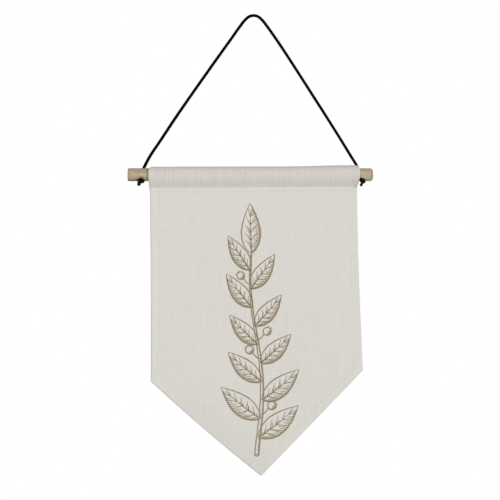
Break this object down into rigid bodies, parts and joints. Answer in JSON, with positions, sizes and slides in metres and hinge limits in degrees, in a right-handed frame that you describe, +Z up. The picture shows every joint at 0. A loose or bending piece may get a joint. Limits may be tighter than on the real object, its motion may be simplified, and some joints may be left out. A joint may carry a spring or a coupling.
{
  "type": "canvas wall banner on a wooden dowel",
  "caption": "Pointed canvas banner with a sewn rod sleeve and hemmed edges, hanging from a round wooden dowel by one cord tied in a stopper knot under each end of the dowel.",
  "frame": {"origin": "underside of the cord at its highest point, where the wall's hook carries it", "axes": "+Z up, +X to the right as seen from the front, -Y out of the printed face, so the wall is on the +Y side"},
  "size_m": [0.2403, 0.0169, 0.4533],
  "materials": {
    "canvas": "matte natural linen-look weave",
    "dowel_wood": "pale unvarnished wood",
    "cord": "black waxed cord"
  },
  "bodies": {
    "root": {"canvas_panel": "canvas", "dowel_rod": "dowel_wood", "hanging_cord": "cord", "knot_left": "cord", "knot_right": "cord"}
  },
  "joints": []
}
